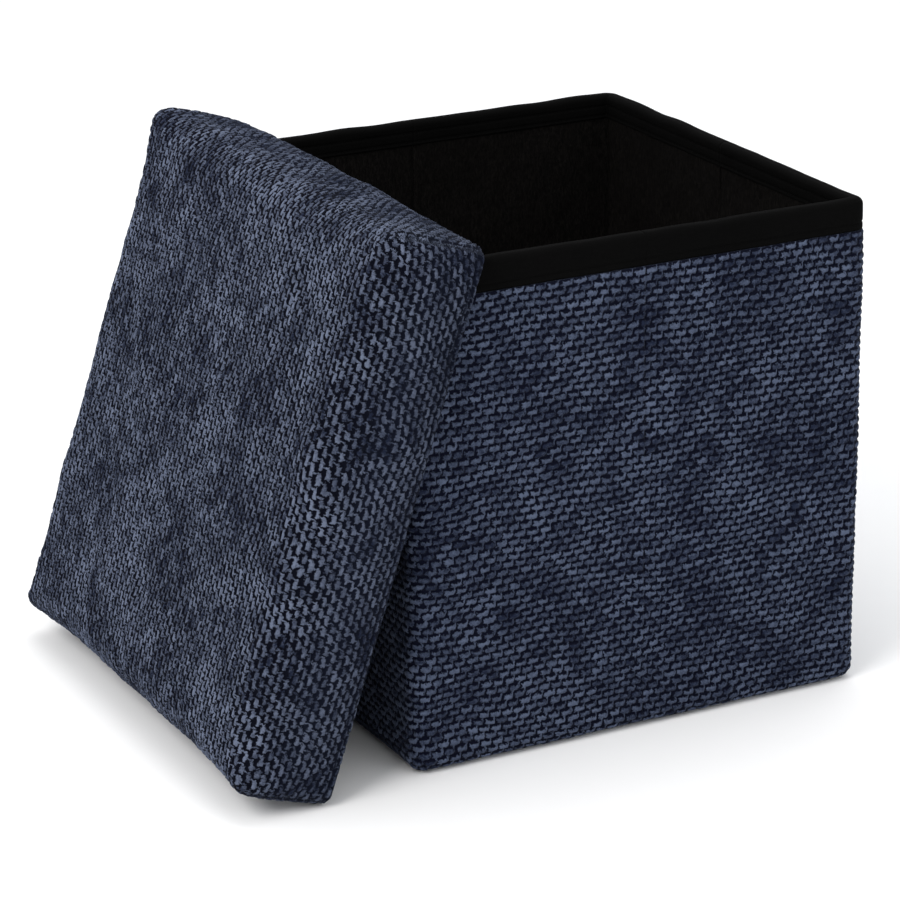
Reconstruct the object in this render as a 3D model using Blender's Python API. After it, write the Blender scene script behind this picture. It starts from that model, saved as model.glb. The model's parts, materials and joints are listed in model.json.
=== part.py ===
# Folding storage ottoman: a square fabric-covered box whose side walls crease in the middle and fold
# inwards, and a padded cap lid that leans on the left wall. Metres, +Z up, origin at the centre of
# the underside, front wall at -Y, lid at -X.
import math

import bmesh
import bpy
from mathutils import Matrix, Vector

# Box, outside sizes
BOX_WIDTH = 0.348
BOX_DEPTH = 0.348
BOX_HEIGHT = 0.350
CORNER_RADIUS = 0.0115
BOTTOM_EDGE_RADIUS = 0.010

# Layers of a wall, from outside to inside
COVER_THICKNESS = 0.003
WALL_BOARD_THICKNESS = 0.006
LINING_THICKNESS = 0.0012
BINDING_LEAF_THICKNESS = 0.0009
GAP = 0.0003

# Rim binding, a folded black tape over the top edge
BINDING_OUTER_HEIGHT = 0.022
BINDING_INNER_HEIGHT = 0.018
BINDING_TOP_THICKNESS = 0.003
RIM_OUTER_RADIUS = 0.005
RIM_INNER_RADIUS = 0.0038

# Base tray under the walls
BASE_BOARD_THICKNESS = 0.0048
WALL_LIFT_CLEARANCE = 0.0006
CREASE_CLEARANCE = 0.001

# Lid
LID_CLEARANCE = 0.006
SKIRT_BOARD_THICKNESS = 0.0052
RECESS_DEPTH = 0.045
LID_BOARD_THICKNESS = 0.006
PAD_THICKNESS = 0.011
LID_CORNER_RADIUS = 0.016
CUSHION_EDGE_RADIUS = 0.022
HEM_THICKNESS = 0.0024
HEM_RADIUS = 0.003
HEM_SETBACK = 0.0006

# Where the lid stands. A lid too short to hook over the rim leans on the wall at SHORT_LID_ANGLE
HOOK_CLEARANCE = 0.0009
LEAN_CLEARANCE = 0.0005
SHORT_LID_ANGLE = math.radians(71.5)
LID_SIDE_SHIFT = 0.002

# Fineness of round edges
CORNER_STEPS = 4
EDGE_STEPS = 4
MIN_RADIUS = 0.0004
MIN_LID_RADIUS = 0.002
CUTTER_MARGIN = 0.05

HALF_WIDTH = BOX_WIDTH / 2
HALF_DEPTH = BOX_DEPTH / 2
BOARD_INSET = COVER_THICKNESS + GAP
LINING_INSET = BOARD_INSET + WALL_BOARD_THICKNESS + GAP
LEAF_INSET = LINING_INSET + LINING_THICKNESS + GAP
WALL_THICKNESS = LEAF_INSET + BINDING_LEAF_THICKNESS
PIVOT_INSET = WALL_THICKNESS + GAP
BASE_LINING_BOTTOM = COVER_THICKNESS + GAP + BASE_BOARD_THICKNESS + GAP
BASE_TOP = BASE_LINING_BOTTOM + LINING_THICKNESS
WALL_FOOT = BASE_TOP + WALL_LIFT_CLEARANCE
COVER_TOP = BOX_HEIGHT - BINDING_OUTER_HEIGHT - GAP
BOARD_TOP = BOX_HEIGHT - BINDING_TOP_THICKNESS - GAP

SKIRT_LINING_INSET = BOARD_INSET + SKIRT_BOARD_THICKNESS + GAP
SKIRT_THICKNESS = SKIRT_LINING_INSET + LINING_THICKNESS
LID_LENGTH = BOX_WIDTH + 2 * (LID_CLEARANCE + SKIRT_THICKNESS)
LID_BREADTH = BOX_DEPTH + 2 * (LID_CLEARANCE + SKIRT_THICKNESS)
LID_BOARD_BOTTOM = RECESS_DEPTH + LINING_THICKNESS + GAP
PAD_BOTTOM = LID_BOARD_BOTTOM + LID_BOARD_THICKNESS + GAP
LID_THICKNESS = PAD_BOTTOM + PAD_THICKNESS + GAP + COVER_THICKNESS
CUSHION_ARC_HEIGHT = LID_THICKNESS - CUSHION_EDGE_RADIUS
HOOK_HEIGHT = BOX_HEIGHT + HOOK_CLEARANCE
HOOK_REACH = LID_LENGTH - SKIRT_THICKNESS


def start_empty_scene():
    for item in list(bpy.data.objects):
        bpy.data.objects.remove(item, do_unlink=True)


def make_material(name, colour, roughness):
    material = bpy.data.materials.new(name)
    material.use_nodes = True
    shader = material.node_tree.nodes["Principled BSDF"]
    shader.inputs["Base Color"].default_value = (*colour, 1)
    shader.inputs["Roughness"].default_value = roughness
    shader.inputs["Metallic"].default_value = 0
    return material


def make_object(name, mesh):
    item = bpy.data.objects.new(name, mesh)
    bpy.context.scene.collection.objects.link(item)
    return item


def rounded_ring(half_x, half_y, radius, z):
    """Points round a rectangle with rounded corners, anticlockwise seen from above."""
    points = []
    for corner, (side_x, side_y) in enumerate(((1, 1), (-1, 1), (-1, -1), (1, -1))):
        centre_x = side_x * (half_x - radius)
        centre_y = side_y * (half_y - radius)
        for step in range(CORNER_STEPS + 1):
            turn = math.pi / 2 * (corner + step / CORNER_STEPS)
            points.append((centre_x + radius * math.cos(turn), centre_y + radius * math.sin(turn), z))
    return points


def box_ring(inset, z):
    radius = max(CORNER_RADIUS - inset, MIN_RADIUS)
    return rounded_ring(HALF_WIDTH - inset, HALF_DEPTH - inset, radius, z)


def lid_ring(inset, z):
    radius = max(LID_CORNER_RADIUS - inset, MIN_LID_RADIUS)
    return rounded_ring(LID_LENGTH / 2 - inset, LID_BREADTH / 2 - inset, radius, z)


def loft(name, rings, closed=False):
    """Skin through rings of equal length, capped at both ends or joined last to first."""
    mesh = bpy.data.meshes.new(name)
    bm = bmesh.new()
    loops = [[bm.verts.new(point) for point in ring] for ring in rings]
    pairs = list(zip(loops, loops[1:]))
    if closed:
        pairs.append((loops[-1], loops[0]))
    else:
        bm.faces.new(reversed(loops[0]))
        bm.faces.new(loops[-1])
    count = len(loops[0])
    for low, high in pairs:
        for i in range(count):
            j = (i + 1) % count
            bm.faces.new((low[i], low[j], high[j], high[i]))
    bmesh.ops.recalc_face_normals(bm, faces=bm.faces)
    bm.to_mesh(mesh)
    bm.free()
    return make_object(name, mesh)


def block(name, low, high):
    low = Vector(low)
    high = Vector(high)
    mesh = bpy.data.meshes.new(name)
    bm = bmesh.new()
    bmesh.ops.create_cube(bm, size=1)
    bmesh.ops.scale(bm, vec=high - low, verts=bm.verts)
    bmesh.ops.translate(bm, vec=(low + high) / 2, verts=bm.verts)
    bm.to_mesh(mesh)
    bm.free()
    return make_object(name, mesh)


def use_cutter(item, cutter, operation):
    cutter.hide_render = True
    cutter.display_type = "WIRE"
    change = item.modifiers.new(cutter.name, "BOOLEAN")
    change.operation = operation
    change.solver = "EXACT"
    change.object = cutter


def keep_between(item, low, high):
    use_cutter(item, block(item.name + "_region", low, high), "INTERSECT")


def arc(centre_inset, centre_z, radius, start, end):
    """(inset, z) points of a round edge; turn 0 points outwards and 90 degrees points up."""
    points = []
    for step in range(EDGE_STEPS + 1):
        turn = math.radians(start + (end - start) * step / EDGE_STEPS)
        points.append((centre_inset - radius * math.cos(turn), centre_z + radius * math.sin(turn)))
    return points


def box_form(name, inset, top):
    """The box's outer form moved in by inset: rounded corners and a rounded lower edge."""
    radius = max(BOTTOM_EDGE_RADIUS - inset, MIN_RADIUS)
    profile = arc(inset + radius, inset + radius, radius, -90, 0)
    profile.append((inset, top))
    return loft(name, [box_ring(*point) for point in profile])


def lid_form(name, profile):
    return loft(name, [lid_ring(*point) for point in profile])


def place(item, joint, material):
    """Gives a finished piece its material and hangs it on its joint, with its origin there."""
    item.data.materials.append(material)
    if joint is not None:
        item.data.transform(Matrix.Translation(-joint["at"]))
        item.parent = joint["empty"]
    return item


def make_joint(name, at, parent=None):
    empty = bpy.data.objects.new(name, None)
    bpy.context.scene.collection.objects.link(empty)
    at = Vector(at)
    if parent is None:
        empty.location = at
    else:
        empty.parent = parent["empty"]
        empty.location = at - parent["at"]
    return {"empty": empty, "at": at}


def make_fold_joints():
    """Vertical fold axes: inner corners for the wall ends, outer faces for the side creases."""
    corner_x = HALF_WIDTH - PIVOT_INSET
    corner_y = HALF_DEPTH - PIVOT_INSET
    left_front = make_joint("left_front_axis", (-corner_x, -corner_y, 0))
    left_rear = make_joint("left_crease_axis", (-HALF_WIDTH, 0, 0), left_front)
    back_wall = make_joint("back_wall_axis", (-corner_x, corner_y, 0), left_rear)
    right_front = make_joint("right_front_axis", (corner_x, -corner_y, 0))
    right_rear = make_joint("right_crease_axis", (HALF_WIDTH, 0, 0), right_front)
    return {
        "left_front": left_front, "left_rear": left_rear, "back_wall": back_wall,
        "right_front": right_front, "right_rear": right_rear,
    }


def make_end_wall(wall, side, foot, joint, finishes):
    """Front or back wall: full width with the rounded corners. side is -1 in front, 1 behind."""
    far = CUTTER_MARGIN + max(HALF_WIDTH, HALF_DEPTH, BOX_HEIGHT)
    end = HALF_DEPTH - (PIVOT_INSET - GAP / 2)

    def region(inner_inset):
        inner = HALF_DEPTH - inner_inset
        low_y, high_y = sorted((side * inner, side * far))
        return (-far, low_y, foot), (far, high_y, 2 * far)

    cover = box_form(f"{wall}_cover", 0, COVER_TOP)
    keep_between(cover, *region(HALF_DEPTH - end))
    pocket = box_form(f"{wall}_cover_pocket", COVER_THICKNESS, COVER_TOP + CUTTER_MARGIN)
    use_cutter(cover, pocket, "DIFFERENCE")
    board = box_form(f"{wall}_board", BOARD_INSET, BOARD_TOP)
    keep_between(board, *region(BOARD_INSET + WALL_BOARD_THICKNESS))
    lining = box_form(f"{wall}_lining", LINING_INSET, BOARD_TOP)
    keep_between(lining, *region(LINING_INSET + LINING_THICKNESS))
    binding = make_binding(f"{wall}_binding")
    keep_between(binding, *region(HALF_DEPTH - end))
    place(cover, joint, finishes["weave"])
    place(board, joint, finishes["board"])
    place(lining, joint, finishes["lining"])
    place(binding, joint, finishes["binding"])


def make_binding(name):
    """The whole rim's folded tape, a channel open downwards, later cut to one wall's length."""
    outer_foot = BOX_HEIGHT - BINDING_OUTER_HEIGHT
    inner_foot = BOX_HEIGHT - BINDING_INNER_HEIGHT
    channel_top = BOX_HEIGHT - BINDING_TOP_THICKNESS
    profile = [(0, outer_foot)]
    profile += arc(RIM_OUTER_RADIUS, BOX_HEIGHT - RIM_OUTER_RADIUS, RIM_OUTER_RADIUS, 0, 90)
    inner_centre = WALL_THICKNESS - RIM_INNER_RADIUS
    profile += arc(inner_centre, BOX_HEIGHT - RIM_INNER_RADIUS, RIM_INNER_RADIUS, 90, 180)
    profile += [(WALL_THICKNESS, inner_foot), (LEAF_INSET, inner_foot), (LEAF_INSET, channel_top)]
    profile += [(COVER_THICKNESS, channel_top), (COVER_THICKNESS, outer_foot)]
    return loft(name, [box_ring(*point) for point in profile], closed=True)


def make_side_panel(panel, side, end, joint, finishes):
    """Half of a side wall. side is -1 left, 1 right; end is -1 for the front half, 1 behind."""
    low_y, high_y = sorted((end * CREASE_CLEARANCE, end * (HALF_DEPTH - PIVOT_INSET - GAP)))

    def layer(name, inset, thickness, top):
        outer = side * (HALF_WIDTH - inset)
        inner = side * (HALF_WIDTH - inset - thickness)
        low_x, high_x = sorted((outer, inner))
        return block(f"{panel}_{name}", (low_x, low_y, WALL_FOOT), (high_x, high_y, top))

    place(layer("cover", 0, COVER_THICKNESS, COVER_TOP), joint, finishes["weave"])
    place(layer("board", BOARD_INSET, WALL_BOARD_THICKNESS, BOARD_TOP), joint, finishes["board"])
    place(layer("lining", LINING_INSET, LINING_THICKNESS, BOARD_TOP), joint, finishes["lining"])
    binding = make_binding(f"{panel}_binding")
    low_x, high_x = sorted((0, side * (HALF_WIDTH + CUTTER_MARGIN)))
    keep_between(binding, (low_x, low_y, 0), (high_x, high_y, BOX_HEIGHT + CUTTER_MARGIN))
    place(binding, joint, finishes["binding"])


def make_base(finishes):
    """Fabric tray, board and lining that the walls stand on, closed in front by the front wall."""
    front = -HALF_DEPTH + PIVOT_INSET + GAP
    far = CUTTER_MARGIN + max(HALF_WIDTH, HALF_DEPTH)
    cover = box_form("base_cover", 0, BOX_HEIGHT)
    keep_between(cover, (-far, front, -far), (far, far, BASE_TOP))
    pocket = box_form("base_cover_pocket", COVER_THICKNESS, BOX_HEIGHT)
    keep_between(pocket, (-far, front + COVER_THICKNESS, -far), (far, far, far))
    use_cutter(cover, pocket, "DIFFERENCE")
    board_top = BOARD_INSET + BASE_BOARD_THICKNESS
    board = box_form("base_board", BOARD_INSET, BOX_HEIGHT)
    keep_between(board, (-far, front + BOARD_INSET, 0), (far, far, board_top))
    lining = box_form("base_lining", BOARD_INSET, BOX_HEIGHT)
    keep_between(lining, (-far, front + BOARD_INSET, BASE_LINING_BOTTOM), (far, far, BASE_TOP))
    place(cover, None, finishes["weave"])
    place(board, None, finishes["board"])
    place(lining, None, finishes["lining"])


def lean_angle():
    """The upper skirt hangs just over the rim, if the lid is long enough to reach it."""
    if HOOK_REACH > HOOK_HEIGHT:
        return math.asin(HOOK_HEIGHT / HOOK_REACH)
    return SHORT_LID_ANGLE


def lid_foot_x(rise, run):
    """x of the lid's lower edge, with the recess floor or a skirt's end against the box."""
    if HOOK_REACH > HOOK_HEIGHT:
        return -HALF_WIDTH - LEAN_CLEARANCE - (BOX_HEIGHT * run - RECESS_DEPTH) / rise
    contact_height = min(LID_LENGTH * rise, BOX_HEIGHT)
    return -HALF_WIDTH - LEAN_CLEARANCE - contact_height * run / rise


def make_lid_seat():
    """Empty at the lid's opening centre, tilted so its +X runs up the lid and +Z out of the cushion."""
    lean = lean_angle()
    rise = math.sin(lean)
    run = math.cos(lean)
    foot_x = lid_foot_x(rise, run)
    foot_z = -HEM_RADIUS * (rise + run - 1)
    seat = bpy.data.objects.new("lid_seat", None)
    bpy.context.scene.collection.objects.link(seat)
    seat.location = (foot_x + LID_LENGTH / 2 * run, LID_SIDE_SHIFT, foot_z + LID_LENGTH / 2 * rise)
    seat.rotation_euler = (0, -lean, 0)
    return {"empty": seat, "at": Vector((0, 0, 0))}


def cushion_arc(inset):
    """Round upper edge of the cushion, moved in by inset, from the side to the top."""
    return arc(CUSHION_EDGE_RADIUS, CUSHION_ARC_HEIGHT, CUSHION_EDGE_RADIUS - inset, 0, 90)


def cushion_inset(inset, z):
    """How far in the cushion's side lies at height z, on the flats of its round edge."""
    points = cushion_arc(inset)
    for (low_inset, low_z), (high_inset, high_z) in zip(points, points[1:]):
        if low_z <= z <= high_z:
            return low_inset + (high_inset - low_inset) * (z - low_z) / (high_z - low_z)
    return inset


def make_lid(finishes):
    seat = make_lid_seat()
    flange_inset = SKIRT_LINING_INSET - GAP
    inside = [(COVER_THICKNESS, HEM_THICKNESS), *cushion_arc(COVER_THICKNESS)]
    hem = [(flange_inset, HEM_THICKNESS), (flange_inset, 0)]
    hem += arc(HEM_RADIUS, HEM_RADIUS, HEM_RADIUS, -90, 0)
    cover = lid_form("lid_cover", [*reversed(inside), *hem, *cushion_arc(0)])

    board_inset = cushion_inset(BOARD_INSET, LID_BOARD_BOTTOM + LID_BOARD_THICKNESS)
    board_top = LID_BOARD_BOTTOM + LID_BOARD_THICKNESS
    board = lid_form("lid_board", [(board_inset, LID_BOARD_BOTTOM), (board_inset, board_top)])

    pad_profile = [(cushion_inset(BOARD_INSET, PAD_BOTTOM), PAD_BOTTOM)]
    pad_profile += [point for point in cushion_arc(BOARD_INSET) if point[1] > PAD_BOTTOM]
    pad = lid_form("lid_pad", pad_profile)

    lining_top = RECESS_DEPTH + LINING_THICKNESS
    lining_profile = [(SKIRT_THICKNESS, RECESS_DEPTH), (SKIRT_THICKNESS, HEM_SETBACK)]
    lining_profile += [(SKIRT_LINING_INSET, HEM_SETBACK), (SKIRT_LINING_INSET, lining_top)]
    lining = lid_form("lid_lining", lining_profile)

    place(cover, seat, finishes["weave"])
    place(board, seat, finishes["board"])
    place(pad, seat, finishes["foam"])
    place(lining, seat, finishes["lining"])
    make_skirt_boards(seat, finishes)


def make_skirt_boards(seat, finishes):
    low_z = HEM_THICKNESS + GAP
    high_z = RECESS_DEPTH + LINING_THICKNESS
    half_length = LID_LENGTH / 2
    half_breadth = LID_BREADTH / 2
    for name, side in (("lower", -1), ("upper", 1)):
        faces = (side * (half_length - BOARD_INSET),
                 side * (half_length - BOARD_INSET - SKIRT_BOARD_THICKNESS))
        reach = half_breadth - LID_CORNER_RADIUS
        board = block(f"lid_skirt_{name}", (min(faces), -reach, low_z), (max(faces), reach, high_z))
        place(board, seat, finishes["board"])
    for name, side in (("front", -1), ("rear", 1)):
        faces = (side * (half_breadth - BOARD_INSET),
                 side * (half_breadth - BOARD_INSET - SKIRT_BOARD_THICKNESS))
        reach = half_length - LID_CORNER_RADIUS
        board = block(f"lid_skirt_{name}", (-reach, min(faces), low_z), (reach, max(faces), high_z))
        place(board, seat, finishes["board"])


def make_ottoman():
    start_empty_scene()
    finishes = {
        "weave": make_material("navy_chenille", (0.035, 0.045, 0.085), 0.85),
        "lining": make_material("black_lining", (0.006, 0.006, 0.006), 0.9),
        "binding": make_material("black_binding", (0.008, 0.008, 0.008), 0.85),
        "board": make_material("grey_board", (0.35, 0.30, 0.24), 0.8),
        "foam": make_material("pale_foam", (0.75, 0.72, 0.60), 0.9),
    }
    joints = make_fold_joints()
    make_base(finishes)
    make_end_wall("front_wall", -1, -CUTTER_MARGIN, None, finishes)
    make_end_wall("back_wall", 1, WALL_FOOT, joints["back_wall"], finishes)
    make_side_panel("left_front", -1, -1, joints["left_front"], finishes)
    make_side_panel("left_rear", -1, 1, joints["left_rear"], finishes)
    make_side_panel("right_front", 1, -1, joints["right_front"], finishes)
    make_side_panel("right_rear", 1, 1, joints["right_rear"], finishes)
    make_lid(finishes)


make_ottoman()
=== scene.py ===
import json
import math

import bmesh
import bpy
import numpy as np
from mathutils import Matrix, Vector

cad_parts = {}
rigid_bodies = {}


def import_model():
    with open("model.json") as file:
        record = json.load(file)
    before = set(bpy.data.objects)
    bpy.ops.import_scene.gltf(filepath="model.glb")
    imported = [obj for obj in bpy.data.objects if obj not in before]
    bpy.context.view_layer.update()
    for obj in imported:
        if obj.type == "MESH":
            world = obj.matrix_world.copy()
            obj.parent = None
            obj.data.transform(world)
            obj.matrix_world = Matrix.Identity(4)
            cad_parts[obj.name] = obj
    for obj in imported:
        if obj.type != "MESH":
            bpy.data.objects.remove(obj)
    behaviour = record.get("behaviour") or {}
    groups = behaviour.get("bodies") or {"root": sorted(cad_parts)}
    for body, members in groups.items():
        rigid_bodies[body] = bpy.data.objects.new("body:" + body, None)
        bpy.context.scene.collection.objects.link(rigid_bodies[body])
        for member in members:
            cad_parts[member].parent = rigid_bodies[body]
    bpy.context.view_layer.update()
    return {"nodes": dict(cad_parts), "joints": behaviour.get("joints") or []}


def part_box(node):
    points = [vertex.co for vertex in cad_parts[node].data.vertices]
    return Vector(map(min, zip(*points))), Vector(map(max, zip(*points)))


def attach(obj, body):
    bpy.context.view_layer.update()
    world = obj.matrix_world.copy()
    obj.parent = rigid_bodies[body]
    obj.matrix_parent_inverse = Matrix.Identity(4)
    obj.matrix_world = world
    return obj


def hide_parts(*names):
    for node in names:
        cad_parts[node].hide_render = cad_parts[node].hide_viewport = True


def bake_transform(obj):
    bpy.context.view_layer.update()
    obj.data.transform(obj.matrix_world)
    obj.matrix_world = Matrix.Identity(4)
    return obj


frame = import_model()
print("frame loaded")

mm = 0.001

# sizes read from the frame
frontLow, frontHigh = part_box("front_wall_cover")
rimLow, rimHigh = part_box("left_front_binding")
panelLow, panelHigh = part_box("left_front_cover")
trayLow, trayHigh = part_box("base_cover")
floorLow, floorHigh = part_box("base_lining")
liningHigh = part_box("left_front_lining")[1]

box = {
    "halfWidth": -panelLow[0],
    "halfDepth": -frontLow[1],
    "cornerRadius": 11.5 * mm,
    "bottomRadius": 10 * mm,
    "coverThickness": panelHigh[0] - panelLow[0],
    "rimThickness": rimHigh[0] - rimLow[0],
    "rimFoot": rimLow[2],
    "panelFoot": panelLow[2],
    "trayTop": trayHigh[2],
    "liningInset": liningHigh[0] - panelLow[0],
    "hingeY": frontHigh[1],
}


# noise and weave, worked out on whole arrays

def softNoise(a, b, size, seed, waves=9):
    rng = np.random.default_rng(seed)
    total = np.zeros(np.broadcast(a, b).shape)
    for _ in range(waves):
        turn = rng.uniform(0, 2 * math.pi)
        reach = 2 * math.pi / (size * rng.uniform(0.7, 1.9))
        phase = rng.uniform(0, 2 * math.pi)
        total = total + np.sin((a * math.cos(turn) + b * math.sin(turn)) * reach + phase)
    return total / math.sqrt(waves)


def scatter(i, j, seed):
    mixed = np.sin(i * 12.9898 + j * 78.233 + seed * 37.719) * 43758.5453
    return mixed - np.floor(mixed)


wallWeave = {"floatPitch": 9 * mm, "rowPitch": 5.2 * mm, "floatEnd": 0.84, "floatWidth": 0.66,
             "drift": 1.3 * mm, "relief": 1.6 * mm}
lidWeave = {"floatPitch": 8.0 * mm, "rowPitch": 4.7 * mm, "floatEnd": 0.80, "floatWidth": 0.62,
            "drift": 1.3 * mm, "relief": 1.5 * mm}


def driftCloth(u, v, weave, seed):
    # rows and floats wander a little, as in a loose handle of cloth
    du = weave["drift"] * softNoise(u, v, 60 * mm, seed)
    dv = 0.7 * weave["drift"] * softNoise(u, v, 50 * mm, seed + 1)
    return u + du, v + dv


def weaveHeight(u, v, weave):
    # floats laid like bricks; at its end each is tied up to the middle of the float above
    rows = v / weave["rowPitch"]
    row = np.floor(rows)
    a = u / weave["floatPitch"] + 0.5 * np.mod(row, 2)
    cell = np.floor(a)
    x = a - cell
    y = 2 * (rows - row) - 1
    ends = np.clip((x + 0.02) / 0.14, 0, 1) * np.clip((weave["floatEnd"] + 0.08 - x) / 0.14, 0, 1)
    body = np.sqrt(np.clip(1 - (y / (weave["floatWidth"] + 0.25)) ** 2, 0, 1)) * np.sqrt(ends)
    tie = 0.8 * np.clip(1.2 - np.abs(x - 0.84) / 0.10, 0, 1) * (y > -0.1)
    lowTie = 0.8 * np.clip(1.2 - np.abs(x - 0.34) / 0.10, 0, 1) * (y < -0.3)
    return np.maximum(body * (0.85 + 0.3 * scatter(cell, row, 7)), np.maximum(tie, lowTie))


# mesh helpers

def makeMesh(name, points, faces, smoothCount=None):
    mesh = bpy.data.meshes.new(name)
    mesh.from_pydata(np.asarray(points).reshape(-1, 3).tolist(), [], faces)
    mesh.update()
    smooth = np.ones(len(mesh.polygons), bool)
    if smoothCount is not None:
        smooth[smoothCount:] = False
    mesh.polygons.foreach_set("use_smooth", smooth)
    piece = bpy.data.objects.new(name, mesh)
    bpy.context.scene.collection.objects.link(piece)
    return piece


def faceOut(piece):
    # turns every face round if the body is inside out
    mesh = piece.data
    mesh.calc_loop_triangles()
    corners = np.zeros(len(mesh.loop_triangles) * 3, int)
    mesh.loop_triangles.foreach_get("vertices", corners)
    points = np.zeros(len(mesh.vertices) * 3)
    mesh.vertices.foreach_get("co", points)
    triangles = points.reshape(-1, 3)[corners.reshape(-1, 3)]
    volume = np.einsum("ij,ij->i", triangles[:, 0], np.cross(triangles[:, 1], triangles[:, 2])).sum()
    if volume < 0:
        mesh.flip_normals()
    return piece


def gridFaces(columns, rows, start=0):
    i, j = np.meshgrid(np.arange(columns - 1), np.arange(rows - 1), indexing="ij")
    first = (start + i * rows + j).ravel()
    return np.stack([first, first + rows, first + rows + 1, first + 1], 1)


def gridRim(columns, rows):
    # the points round a grid's edge, in order
    rim = [i * rows for i in range(columns)] + [(columns - 1) * rows + j for j in range(1, rows)]
    rim += [i * rows + rows - 1 for i in range(columns - 2, -1, -1)]
    return rim + list(range(rows - 2, 0, -1))


def shellFromGrid(name, outer, back):
    # outer is columns x rows x 3, back is columns x 2 x 3: its lower and upper edge
    columns, rows = outer.shape[:2]
    faces = gridFaces(columns, rows).tolist()
    smoothCount = len(faces)
    start = columns * rows
    for i in range(columns - 1):
        a, b = i * rows, (i + 1) * rows
        low, nextLow = start + 2 * i, start + 2 * i + 2
        faces.append([a, low, nextLow, b])
        faces.append([low, low + 1, nextLow + 1, nextLow])
        faces.append([a + rows - 1, b + rows - 1, nextLow + 1, low + 1])
    first = list(range(rows)) + [start + 1, start]
    last = list(range((columns - 1) * rows, columns * rows))
    last += [start + 2 * columns - 1, start + 2 * columns - 2]
    faces.append(first)
    faces.append(last[::-1])
    points = np.concatenate([outer.reshape(-1, 3), back.reshape(-1, 3)])
    return faceOut(makeMesh(name, points, faces, smoothCount))


def ringShell(name, rings):
    # columns of closed sections, capped at both ends
    columns, rows = rings.shape[:2]
    i, j = np.meshgrid(np.arange(columns - 1), np.arange(rows), indexing="ij")
    a = (i * rows + j).ravel()
    b = (i * rows + (j + 1) % rows).ravel()
    faces = np.stack([a, b, b + rows, a + rows], 1).tolist()
    smoothCount = len(faces)
    faces.append(list(range(rows))[::-1])
    faces.append(list(range((columns - 1) * rows, columns * rows)))
    return faceOut(makeMesh(name, rings, faces, smoothCount))


def setValues(piece, name, values, fill=0.0):
    attribute = piece.data.attributes.new(name, "FLOAT", "POINT")
    full = np.full(len(piece.data.vertices), fill, np.float32)
    flat = np.asarray(values, np.float32).ravel()
    full[:len(flat)] = flat
    attribute.data.foreach_set("value", full)


def setCloth(piece, u, v, mask):
    # where each point lies on the flat cloth, and 1 where yarn shows or 0 in a seam
    setValues(piece, "clothMask", mask, 1.0)
    attribute = piece.data.attributes.new("clothPlace", "FLOAT_VECTOR", "POINT")
    full = np.zeros((len(piece.data.vertices), 3), np.float32)
    full[:u.size, 0] = u.ravel()
    full[:v.size, 1] = v.ravel()
    attribute.data.foreach_set("vector", full.ravel())


# materials

def newGroup(name, inputs, outputs):
    group = bpy.data.node_groups.new(name, "ShaderNodeTree")
    kinds = {"color": "NodeSocketColor", "value": "NodeSocketFloat", "vector": "NodeSocketVector"}
    for label, kind, value in inputs:
        socket = group.interface.new_socket(name=label, in_out="INPUT", socket_type=kinds[kind])
        if value is not None:
            socket.default_value = value
    for label, kind in outputs:
        group.interface.new_socket(name=label, in_out="OUTPUT", socket_type=kinds[kind])
    return group, group.nodes.new("NodeGroupInput"), group.nodes.new("NodeGroupOutput")


def addNode(tree, kind, links=None, **settings):
    node = tree.nodes.new("ShaderNode" + kind)
    for key, value in settings.items():
        setattr(node, key, value)
    for key, value in (links or {}).items():
        if isinstance(value, bpy.types.NodeSocket):
            tree.links.new(value, node.inputs[key])
        else:
            node.inputs[key].default_value = value
    return node


def mathNode(tree, operation, first, second=0.0, third=0.0, clamp=False):
    node = tree.nodes.new("ShaderNodeMath")
    node.operation = operation
    node.use_clamp = clamp
    for k, value in enumerate((first, second, third)):
        if isinstance(value, bpy.types.NodeSocket):
            tree.links.new(value, node.inputs[k])
        else:
            node.inputs[k].default_value = value
    return node.outputs[0]


def rangeNode(tree, value, low, high, toLow=0.0, toHigh=1.0):
    node = addNode(tree, "MapRange", {"Value": value, "From Min": low, "From Max": high,
                                      "To Min": toLow, "To Max": toHigh})
    return node.outputs[0]


def mixColour(tree, share, first, second):
    node = tree.nodes.new("ShaderNodeMix")
    node.data_type = "RGBA"
    for k, value in ((0, share), (6, first), (7, second)):
        if isinstance(value, bpy.types.NodeSocket):
            tree.links.new(value, node.inputs[k])
        elif k == 0:
            node.inputs[k].default_value = value
        else:
            node.inputs[k].default_value = (*value, 1) if len(value) == 3 else value
    return node.outputs[2]


def noiseNode(tree, place, scale, detail=3.0, roughness=0.55, distortion=0.0):
    node = addNode(tree, "TexNoise", {"Vector": place, "Scale": scale, "Detail": detail,
                                      "Roughness": roughness, "Distortion": distortion})
    return node.outputs["Fac"]


def smoothRange(tree, value, low, high):
    node = addNode(tree, "MapRange", {"Value": value, "From Min": low, "From Max": high},
                   interpolation_type="SMOOTHSTEP")
    return node.outputs[0]


def smoothBand(tree, value, low, high, soft):
    # 1 between low and high, falling to 0 over soft on either side
    rising = smoothRange(tree, value, low - soft, low + soft)
    falling = smoothRange(tree, value, high + soft, high - soft)
    return mathNode(tree, "MULTIPLY", rising, falling)


floatSet = {"raggedScale": 360.0, "endSpread": 0.10, "rise": 0.10, "fall": 0.12, "tie": (0.76, 0.90),
            "lowTie": (0.26, 0.40), "tieSoft": 0.03}


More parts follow.
